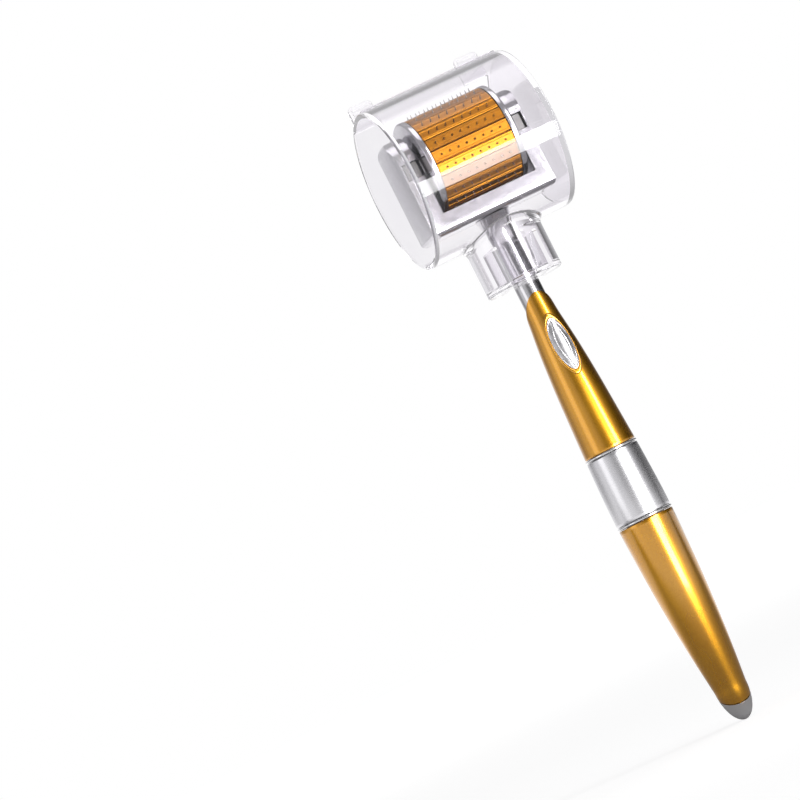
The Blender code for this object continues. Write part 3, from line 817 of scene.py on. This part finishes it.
def fork_plan_outline():
    """Cheeks bulge from the front and back faces to the full width in the middle."""
    depth, width, bulge = YOKE_HIGH.y, YOKE_HIGH.x, YOKE_CHEEK_BULGE
    radius = (depth * depth + bulge * bulge) / (2 * bulge)
    half_angle = math.degrees(math.asin(depth / radius))
    right = arc((width - radius, 0.0), radius, -half_angle, half_angle, 12)
    return right + [(-across, deep) for across, deep in reversed(right)]


def make_fork(silver):
    """Three outlines crossed, then cut round for the drum and slotted for the axle blocks."""
    reach = 20.0 * MM  # well past the fork
    cradle_sides = 144
    shape = prism(fork_front_outline(), -reach, reach, FRONT_VIEW)
    shape = joined(shape, prism(fork_side_outline(), -reach, reach, SIDE_VIEW), "INTERSECT")
    shape = joined(shape, prism(fork_plan_outline(), -reach, reach, PLAN_VIEW), "INTERSECT")
    inner = BLOCK_LOW.x - GAP
    last_angle = 360 - 360 / cradle_sides
    circle = arc((0, 0), CRADLE_RADIUS, 0, last_angle, cradle_sides - 1)
    shape = joined(shape, prism(circle, -inner, inner, SIDE_VIEW), "DIFFERENCE")
    slot_half = (BLOCK_HIGH.z - BLOCK_LOW.z) / 2 + GAP
    slot_back = BLOCK_HIGH.y + GAP
    for sign in (-1, 1):
        left, right = sorted((sign * (inner - MM), sign * SLOT_OUTER_X))
        slot = rounded_box(
            (left, -reach, -slot_half), (right, slot_back, slot_half), 0.02 * MM, segments=1
        )
        shape = joined(shape, slot, "DIFFERENCE")
    shape.transform(Matrix.Translation(AXLE))
    fork = piece("fork", shape, silver, "handle", ["yoke"])
    bevel = fork.modifiers.new("eased_edges", "BEVEL")
    bevel.width = 0.4 * MM
    bevel.segments = 3
    bevel.limit_method = "ANGLE"
    bevel.angle_limit = math.radians(34)
    bevel.use_clamp_overlap = True
    bevel.harden_normals = True


def make_axle_blocks(grey):
    for side in ("left", "right"):
        name = f"{side}_axle_block"
        shape = rounded_box(*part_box(name), 0.22 * MM)
        piece(f"{side}_bearing_block", shape, grey, "handle", [name])


def strip_shape():
    """One strip on top of the drum: a bar with two scored lines and a dimple at each needle."""
    radius = (STRIP_HIGH.z - AXLE.z) - NEEDLE_LENGTH
    foot = radius - STRIP_THICKNESS
    half_pitch = math.pi / ROWS
    top_half = radius * math.tan(half_pitch) - STRIP_SEAM / 2
    foot_half = foot * math.tan(half_pitch) - STRIP_SEAM / 2
    ease = 0.10 * MM
    line = SCORE_PLACE * top_half
    half = [
        (foot_half, foot),
        (top_half, radius - ease),
        (top_half - ease, radius),
        (line + SCORE_DEPTH, radius),
        (line, radius - SCORE_DEPTH),
        (line - SCORE_DEPTH, radius),
    ]
    outline = [(-across, up) for across, up in half] + list(reversed(half))
    shape = prism(outline, STRIP_LOW.x, STRIP_HIGH.x, SIDE_VIEW)
    above = 0.02 * MM
    pit = [
        (0.0, -DIMPLE_DEPTH),
        (DIMPLE_FLOOR_RADIUS, -DIMPLE_DEPTH),
        (DIMPLE_MOUTH_RADIUS, above),
        (0.0, above),
    ]
    for across in needle_places():
        dimple = lathe(pit, closed=False, sides=16)
        dimple.transform(Matrix.Translation((across, 0.0, radius)))
        shape = joined(shape, dimple, "DIFFERENCE")
    return shape


def needle_places():
    return [(i - (NEEDLES_PER_ROW - 1) / 2) * NEEDLE_PITCH for i in range(NEEDLES_PER_ROW)]


def round_the_drum(shape, tones=False):
    """Copies of a row's shape round the axle, as one bmesh, with a tone of its own for each row."""
    row_mesh = bpy.data.meshes.new("row")
    shape.to_mesh(row_mesh)
    shape.free()
    whole = bmesh.new()
    tone = whole.verts.layers.float.new("tone") if tones else None
    for row in range(ROWS):
        before = len(whole.verts)
        turn = Matrix.Translation(AXLE) @ Matrix.Rotation(2 * math.pi * row / ROWS, 4, "X")
        copy = row_mesh.copy()
        copy.transform(turn)
        whole.from_mesh(copy)
        bpy.data.meshes.remove(copy)
        if tones:
            whole.verts.ensure_lookup_table()
            share = 0.5 + 0.5 * math.sin(row * TONE_STEP)
            for vertex in whole.verts[before:]:
                vertex[tone] = share
    bpy.data.meshes.remove(row_mesh)
    return whole


def make_strips(gold):
    strips = round_the_drum(strip_shape(), tones=True)
    names = [f"needle_strip_{row + 1:02d}" for row in range(ROWS)]
    piece("drum_strips", strips, gold, "roller", names, sharp=20.0)


def make_needles(steel):
    """Needles that taper in two steps to a fine tip, rooted below the dimples' floors."""
    tip = STRIP_HIGH.z - AXLE.z
    root = tip - NEEDLE_LENGTH - NEEDLE_ROOT
    length = tip - root
    profile = [
        (0.0, root),
        (NEEDLE_RADIUS, root),
        (NEEDLE_RADIUS, root + 0.30 * length),
        (0.60 * NEEDLE_RADIUS, root + 0.72 * length),
        (0.16 * NEEDLE_RADIUS, tip),
        (0.0, tip),
    ]
    row = bmesh.new()
    for across in needle_places():
        one = lathe(profile, closed=False, sides=12)
        one.transform(Matrix.Translation((across, 0.0, 0.0)))
        mesh = bpy.data.meshes.new("needle")
        one.to_mesh(mesh)
        one.free()
        row.from_mesh(mesh)
        bpy.data.meshes.remove(mesh)
    piece("needles", round_the_drum(row), steel, "roller", [], sharp=60.0)


def make_flanges(silver):
    """End discs of the drum, each with a low hub round its bore."""
    radius, inside, outside = FLANGE_HIGH.z - AXLE.z, FLANGE_LOW.x, FLANGE_HIGH.x
    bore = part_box("right_bush")[1].z - AXLE.z + GAP
    face = outside - HUB_RISE
    corners = [  # distance from the axle, place along it, rounding
        (bore, outside, 0.05 * MM),
        (HUB_RADIUS, outside, 0.2 * MM),
        (HUB_FOOT_RADIUS, face, 0.2 * MM),
        (radius, face - 0.05 * MM, 0.45 * MM),
        (radius, inside, 0.1 * MM),
        (bore, inside, 0.0),
    ]
    for side, sign in (("left", -1), ("right", 1)):
        disc = lathe(eased(corners))
        disc.transform(Matrix.Translation(AXLE) @ Matrix.Rotation(sign * math.pi / 2, 4, "Y"))
        piece(f"{side}_drum_flange", disc, silver, "roller", [f"{side}_flange"])


# ------------ cover


def cover_barrel():
    """Drum with rounded rims."""
    half = COVER_HIGH.x
    corners = [
        (0.0, half, 0.0),
        (COVER_RADIUS, half, COVER_RIM_ROUND),
        (COVER_RADIUS, -half, COVER_RIM_ROUND),
        (0.0, -half, 0.0),
    ]
    return shifted(lathe(eased(corners), closed=False, sides=180), ALONG_X)


def rod_along_x(radius, half_length):
    ends = ((0.0, half_length), (radius, half_length), (radius, -half_length), (0.0, -half_length))
    return shifted(lathe(ends, closed=False, sides=24), ALONG_X)


def cover_cavity():
    """Hollow of the drum together with its open back."""
    below, behind = -40.0 * MM, 30.0 * MM  # well past the cover
    radius = COVER_RADIUS - COVER_WALL
    half = COVER_HIGH.x - COVER_WALL
    top = math.degrees(math.asin(MOUTH_TOP / radius))
    foot = 360.0 - math.degrees(math.acos(MOUTH_Y / radius))
    outline = arc((0.0, 0.0), radius, top, foot, 110)
    outline += [(MOUTH_Y, below), (behind, below), (behind, MOUTH_TOP)]
    return prism(outline, -half, half, SIDE_VIEW)


def collar_outside(bottom):
    """Collar's outside all round, with a fillet that runs out into the drum's underside."""
    sunk = 0.05 * MM
    top = -10.0 * MM  # inside the drum, where its cavity is cut later

    def drum_height(y):
        return -math.sqrt((COVER_RADIUS - sunk) ** 2 - y * y)

    rows = [[(0.0, 0.0, top)], level_ring(COLLAR_RADIUS + COLLAR_FILLET, top, COLLAR_SIDES)]
    for turn in spread(90.0, 0.0, 8):
        out = COLLAR_RADIUS + COLLAR_FILLET * (1.0 - math.cos(math.radians(turn)))
        drop = COLLAR_FILLET * (1.0 - math.sin(math.radians(turn)))
        rows.append(ring(lambda a: (out, drum_height(out * math.cos(a)) - drop), COLLAR_SIDES))
    for turn in spread(0.0, 90.0, 4):
        radius = COLLAR_RADIUS - COLLAR_FOOT_ROUND * (1.0 - math.cos(math.radians(turn)))
        height = bottom + COLLAR_FOOT_ROUND * (1.0 - math.sin(math.radians(turn)))
        rows.append(level_ring(radius, height, COLLAR_SIDES))
    rows.append([(0.0, 0.0, bottom)])
    return loft(rows)


def finger_lug(sign, top):
    """Upright tab at the back of the drum's top, with two ridges across its front face."""
    left, right = sign * LUG_X - LUG_HALF_WIDTH, sign * LUG_X + LUG_HALF_WIDTH
    corners = [
        (left, LUG_FOOT, 0.0),
        (right, LUG_FOOT, 0.0),
        (right, top, LUG_ROUND),
        (left, top, LUG_ROUND),
    ]
    lug = prism(eased(corners), -LUG_BACK_Y, -LUG_FRONT_Y, FRONT_VIEW)
    rims = [e for e in lug.edges if abs(e.verts[0].co.y - e.verts[1].co.y) < GAP / 10]
    bmesh.ops.bevel(lug, geom=rims, offset=LUG_BEVEL, segments=4, profile=0.5, affect="EDGES")
    for share in RIDGE_HEIGHTS:
        height = COVER_RADIUS + share * (top - COVER_RADIUS)
        ridge = rod_along_x(RIDGE_RADIUS, LUG_HALF_WIDTH - RIDGE_INSET)
        ridge.transform(Matrix.Translation((sign * LUG_X, LUG_FRONT_Y, height)))
        lug = joined(lug, ridge, "UNION")
    return lug


def collar_well(bottom):
    """Hollow of the collar, with an eased floor."""
    radius, floor = COLLAR_RADIUS - COLLAR_WALL, bottom + COLLAR_WALL
    corners = [
        (0.0, floor, 0.0),
        (radius, floor, 0.5 * MM),
        (radius, WELL_TOP, 0.0),
        (0.0, WELL_TOP, 0.0),
    ]
    return lathe(eased(corners), closed=False, sides=COLLAR_SIDES)


def stem_jaw(sign, foot):
    """Wall beside the stem's place, and the hook at its back edge, as two shapes."""
    left, right = sorted((sign * JAW_INNER_X, sign * JAW_OUTER_X))
    wall = rounded_box((left, JAW_FRONT_Y, foot), (right, JAW_BACK_Y, JAW_TOP), JAW_ROUND)
    left, right = sorted((sign * JAW_LIP_X, sign * (JAW_INNER_X + HOOK_OVERLAP)))
    hook = rounded_box(
        (left, JAW_BACK_Y - HOOK_DEPTH, foot + 0.05 * MM),
        (right, JAW_BACK_Y - GAP, JAW_TOP - 0.25 * MM),
        JAW_ROUND,
    )
    return wall, hook


def stem_notch(bottom):
    """Slot with a round front end that lets the stem into the collar's floor from the back."""
    behind, reach = 12.0 * MM, 3.0 * MM  # well past the floor
    outline = arc((0.0, 0.0), NOTCH_RADIUS, 180, 360, 32)
    outline += [(NOTCH_RADIUS, behind), (-NOTCH_RADIUS, behind)]
    return prism(outline, bottom - reach, bottom + reach, PLAN_VIEW)


def make_cover(clear):
    """One clear moulding: drum open at the back, collar with jaws for the stem, lugs and bead."""
    bottom = COVER_LOW.z - COVER_CENTRE.z
    shape = joined(cover_barrel(), collar_outside(bottom), "UNION")
    for sign in (-1, 1):
        shape = joined(shape, finger_lug(sign, COVER_HIGH.z - COVER_CENTRE.z), "UNION")
    bead = rod_along_x(BEAD_RADIUS, BEAD_END)
    tilt = Matrix.Rotation(BEAD_TILT, 4, "X")
    bead.transform(tilt @ Matrix.Translation((0.0, 0.0, COVER_RADIUS)))
    shape = joined(shape, bead, "UNION")
    shape = joined(shape, cover_cavity(), "DIFFERENCE")
    shape = joined(shape, collar_well(bottom), "DIFFERENCE")
    for sign in (-1, 1):
        for part in stem_jaw(sign, bottom + COLLAR_WALL / 2):
            shape = joined(shape, part, "UNION")
    shape = joined(shape, stem_notch(bottom), "DIFFERENCE")
    shape.transform(Matrix.Translation(COVER_CENTRE))
    cover = piece("cover_shell", shape, clear, "cover", ["clear_cover"], sharp=24.0)
    normals = cover.modifiers.new("even_faces", "WEIGHTED_NORMAL")
    normals.keep_sharp = True


# ------------ studio

# Distance in metres, angles in degrees.
CAMERA_DISTANCE = 0.90
CAMERA_AZIMUTH = -14.4
CAMERA_ELEVATION = -3.5
CAMERA_ROLL = -26.7
CAMERA_LENS = 181.3
# The photograph has the tool to the right of its middle.
AIM = Vector((-0.0385, 0.0, 0.6 * cad_box[1].z))


def facing(aim, bearing, elevation, distance):
    """Place of a camera or lamp that faces aim. Bearing is from the front, positive towards +X."""
    turn, rise = math.radians(bearing), math.radians(elevation)
    level = math.cos(rise)
    out = Vector((math.sin(turn) * level, -math.cos(turn) * level, math.sin(rise)))
    turned = out.to_track_quat("Z", "Y").to_matrix().to_4x4()
    return Matrix.Translation(aim + out * distance) @ turned


def place_camera():
    """Below and to the left of the head, rolled so that the tool leans to the left."""
    camera = bpy.data.objects.new("camera", bpy.data.cameras.new("camera"))
    camera.data.lens = CAMERA_LENS
    camera.data.clip_start = 0.01
    roll = Matrix.Rotation(math.radians(CAMERA_ROLL), 4, "Z")
    camera.matrix_world = facing(AIM, CAMERA_AZIMUTH, CAMERA_ELEVATION, CAMERA_DISTANCE) @ roll
    bpy.context.scene.collection.objects.link(camera)
    bpy.context.scene.camera = camera


def bounced(tree):
    """1 once a ray has been mirrored or scattered, 0 while it has only gone through things."""
    path = node(tree, "LightPath")
    bounces = calculate(tree, "ADD", path.outputs["Glossy Depth"], path.outputs["Diffuse Depth"])
    return calculate(tree, "GREATER_THAN", bounces, 0.5)


# Name, bearing and elevation in degrees, distance and (width, height) in metres, power in watts.
LAMPS = [
    ("key_strip", 29, 13, 1.0, (0.22, 0.72), 1.35),
    ("low_key", 14, -15, 0.28, (0.10, 0.10), 0.115),
    ("side_softbox", -75, 12, 1.1, (0.50, 0.60), 0.22),
    ("top_softbox", 60, 75, 1.2, (0.8, 0.8), 1.0),
]
LAMP_AIM = Vector((0.0, 0.0, AXLE.z - 20.0 * MM))
LAMP_SPREAD = math.radians(100.0)


def softbox(name, bearing, elevation, distance, size, power):
    """Gridded lamp, hidden from the camera even through clear plastic."""
    lamp = bpy.data.lights.new(name, "AREA")
    lamp.shape = "RECTANGLE"
    lamp.size, lamp.size_y = size
    lamp.energy = power
    lamp.spread = LAMP_SPREAD
    lamp.use_nodes = True
    tree = lamp.node_tree
    path = node(tree, "LightPath")
    not_through = calculate(tree, "SUBTRACT", 1.0, path.outputs["Is Transmission Ray"])
    shown = calculate(tree, "MAXIMUM", bounced(tree), not_through)
    tree.links.new(shown, tree.nodes["Emission"].inputs["Strength"])
    obj = bpy.data.objects.new(name, lamp)
    obj.matrix_world = facing(LAMP_AIM, bearing, elevation, distance)
    obj.visible_camera = False
    bpy.context.scene.collection.objects.link(obj)


# Brightness of the walls round the tool, by bearing from the front in degrees.
WALLS = [
    (-180, 0.90),
    (-160, 0.70),
    (-142, 0.30),
    (-125, 0.42),
    (-105, 0.80),
    (-42, 0.60),
    (-24, 0.14),
    (-8, 0.12),
    (4, 0.42),
    (45, 0.44),
    (60, 0.12),
    (75, 0.02),
    (118, 0.02),
    (138, 0.22),
    (158, 0.50),
    (180, 0.90),
]
CEILING = 0.32
ASIDE = 0.45  # what clear plastic bends into view from well aside of the backdrop
VEIL = 0.12  # share of white in what is mirrored behind or inside clear plastic


def eased_range(tree, value, low, high, start=0.0, end=1.0):
    inputs = {"Value": value, "From Min": low, "From Max": high, "To Min": start, "To Max": end}
    made = node(tree, "MapRange", inputs, interpolation_type="SMOOTHSTEP")
    return made.outputs["Result"]


def room_walls(tree, axes):
    """Light and dark walls by bearing, under a dimmer ceiling."""
    ahead = calculate(tree, "MULTIPLY", axes.outputs["Y"], -1.0)
    bearing = calculate(tree, "ARCTAN2", axes.outputs["X"], ahead)
    share = node(
        tree, "MapRange", {"Value": bearing, "From Min": -math.pi, "From Max": math.pi}
    ).outputs["Result"]
    walls = node(tree, "ValToRGB", {"Fac": share})
    stops = walls.color_ramp.elements
    stops[0].position = 0.0
    stops[1].position = 1.0
    for degrees, _ in WALLS[1:-1]:
        stops.new((degrees + 180) / 360)
    for stop, (_, level) in zip(stops, WALLS):
        stop.color = (level, level, level * 1.02, 1.0)
    rise = eased_range(tree, axes.outputs["Z"], 0.25, 0.55)
    return blended(tree, rise, walls.outputs["Color"], (CEILING,) * 3)


def straight_ahead(tree, from_camera):
    """1 for what is seen directly, ASIDE for what clear plastic bends into view from aside."""
    path = node(tree, "LightPath")
    through = calculate(tree, "GREATER_THAN", path.outputs["Transmission Depth"], 0.5)
    toward = node(tree, "VectorMath", {0: from_camera}, operation="NORMALIZE").outputs["Vector"]
    depth = node(tree, "SeparateXYZ", {"Vector": toward}).outputs["Z"]
    bent = eased_range(tree, depth, 0.97, 0.70, 0.0, 1.0 - ASIDE)
    return calculate(tree, "SUBTRACT", 1.0, calculate(tree, "MULTIPLY", through, bent))


def light_walls():
    """White where it is seen directly, a room of light and dark walls where metal mirrors it."""
    world = bpy.data.worlds.new("studio")
    bpy.context.scene.world = world
    world.use_nodes = True
    world.cycles.sampling_method = "NONE"
    tree = world.node_tree
    place = node(tree, "TexCoord")
    room = room_walls(tree, node(tree, "SeparateXYZ", {"Vector": place.outputs["Generated"]}))
    path = node(tree, "LightPath")
    through = calculate(tree, "GREATER_THAN", path.outputs["Transmission Depth"], 0.5)
    veil = calculate(tree, "MULTIPLY", through, VEIL)
    mirrored = blended(tree, veil, room, (1.0, 1.0, 1.0))

    ahead = straight_ahead(tree, place.outputs["Camera"])
    seen = blended(tree, bounced(tree), ahead, mirrored)
    tree.links.new(seen, tree.nodes["Background"].inputs["Color"])


def lay_floor():
    """Wide pale sheet that glows up to the backdrop's white. Mirrored, it is dim near the tool."""
    rings = [level_ring(radius, 0.0, 64) for radius in (0.0, 0.3, 1.0, 4.0, 16.0)]
    mesh = bpy.data.meshes.new("floor")
    shape = loft(rings)
    shape.to_mesh(mesh)
    shape.free()
    floor = bpy.data.objects.new("floor", mesh)
    bpy.context.scene.collection.objects.link(floor)
    material, tree, surface = finish("pale_sheet")
    clouds = noise(tree, (6.0, 6.0, 6.0))
    place = node(tree, "TexCoord").outputs["Object"]
    depth = node(tree, "SeparateXYZ", {"Vector": place}).outputs["Y"]
    away = node(tree, "Math", {0: depth}, operation="ABSOLUTE").outputs[0]
    mirrored_glow = eased_range(tree, away, 0.05, 0.30, start=0.03, end=1.0)
    distance = node(tree, "VectorMath", {0: place}, operation="LENGTH").outputs["Value"]
    full_glow = eased_range(tree, distance, 0.10, 1.50, start=0.74, end=0.90)
    ahead = straight_ahead(tree, node(tree, "TexCoord").outputs["Camera"])
    seen_glow = calculate(tree, "MULTIPLY", full_glow, ahead)
    glow = node(tree, "Mix", {"Factor": bounced(tree), "A": seen_glow, "B": mirrored_glow})
    set_inputs(
        tree,
        surface,
        {
            "Base Color": blended(tree, clouds, (0.36, 0.36, 0.365), (0.39, 0.39, 0.39)),
            "Roughness": 0.9,
            "Specular IOR Level": 0.1,
            "Emission Color": (1.0, 1.0, 1.0, 1.0),
            "Emission Strength": glow.outputs["Result"],
        },
    )
    mesh.materials.append(material)


# ------------ build

gold = gold_lacquer()
drum_gold = strip_gold()
silver = metal(
    "satin_silver",
    light=(0.65, 0.64, 0.66),
    dark=(0.60, 0.59, 0.61),
    roughness=(0.13, 0.19),
    brush=(900, 900, 900),
    depth=0.003 * MM,
)
brushed = metal(
    "brushed_silver",
    light=(0.80, 0.79, 0.81),
    dark=(0.75, 0.74, 0.765),
    roughness=(0.26, 0.28),
    brush=(250, 250, 9000),
    depth=0.0002 * MM,
)
chrome = metal(
    "polished_silver",
    light=(0.88, 0.87, 0.88),
    dark=(0.82, 0.81, 0.82),
    roughness=(0.06, 0.11),
    brush=(700, 700, 700),
    depth=0.002 * MM,
)
badge_silver = metal(
    "badge_silver",
    light=(0.80, 0.79, 0.81),
    dark=(0.74, 0.73, 0.75),
    roughness=(0.27, 0.33),
    brush=(900, 900, 900),
    depth=0.002 * MM,
)
needle_steel = metal(
    "needle_steel",
    light=(0.36, 0.33, 0.31),
    dark=(0.24, 0.22, 0.20),
    roughness=(0.25, 0.38),
    brush=(9000, 9000, 2000),
    depth=0.004 * MM,
)
rod_steel = metal(
    "drawn_steel",
    light=(0.62, 0.62, 0.64),
    dark=(0.48, 0.48, 0.50),
    roughness=(0.28, 0.42),
    brush=(2500, 2500, 60),
    depth=0.01 * MM,
)
grey = moulded("grey_plastic", (0.34, 0.33, 0.32), (0.28, 0.27, 0.26), 0.45)
white = moulded("white_plastic", (0.80, 0.80, 0.78), (0.72, 0.72, 0.70), 0.42)
clear = clear_plastic()

make_upper_grip(gold)
make_lower_grip(gold)
make_tail_tip(chrome)
make_band(brushed, chrome)
make_badge(badge_silver, gold)
make_stem(silver)
make_fork(silver)
make_axle_blocks(grey)
make_strips(drum_gold)
make_needles(needle_steel)
make_flanges(silver)
make_cover(clear)

KEPT_NODES = {
    "axle": rod_steel,
    "core_rod": rod_steel,
    "grip_joiner": white,
    "drum_core": drum_gold,
    "left_bush": white,
    "right_bush": white,
}
for name, material in KEPT_NODES.items():
    for slot in frame["nodes"][name].material_slots:
        slot.material = material

bpy.context.scene.view_settings.view_transform = "Standard"
lay_floor()
light_walls()
for lamp in LAMPS:
    softbox(*lamp)
place_camera()
